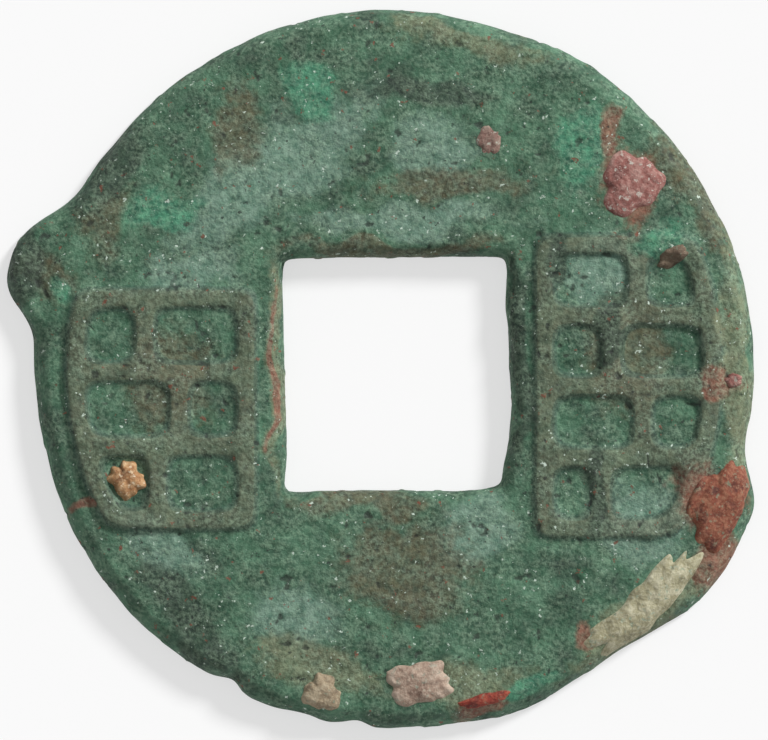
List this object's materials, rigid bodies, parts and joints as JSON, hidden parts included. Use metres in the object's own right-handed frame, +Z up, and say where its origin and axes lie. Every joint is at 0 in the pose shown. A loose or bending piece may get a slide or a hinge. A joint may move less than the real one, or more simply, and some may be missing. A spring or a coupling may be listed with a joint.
{
  "type": "chinese cash coin",
  "caption": "Cast bronze disc coin with a square hole for stringing, a broken gate stub, raised lattice panels and burial crusts.",
  "frame": {"origin": "under the middle of the coin's outline, gate stub included, on the plane of the flat back", "axes": "+Z up through the thickness, out of the face; +X to the right across the face, away from the gate stub; +Y up the face"},
  "size_m": [0.0312, 0.03, 0.0017],
  "materials": {
    "patinated_bronze": "matt corroded patina",
    "iron_red_crust": "rough mineral crust",
    "buff_lime_crust": "rough mineral crust",
    "pink_cuprite": "rough mineral crust",
    "brown_scale": "rough mineral crust",
    "ochre_earth": "rough earthy lump",
    "pink_lime": "rough mineral crust",
    "red_oxide": "rough mineral crust",
    "tan_lime": "rough mineral crust"
  },
  "bodies": {
    "root": {"coin_casting": "patinated_bronze", "iron_red_crust": "iron_red_crust", "buff_lime_crust": "buff_lime_crust", "cuprite_scab": "pink_cuprite", "small_cuprite_scab": "pink_cuprite", "rim_cuprite_scab": "pink_cuprite", "brown_scale_bar": "brown_scale", "ochre_earth_lump": "ochre_earth", "pink_lime_crust": "pink_lime", "red_oxide_scab": "red_oxide", "tan_lime_nodule": "tan_lime"}
  },
  "joints": []
}
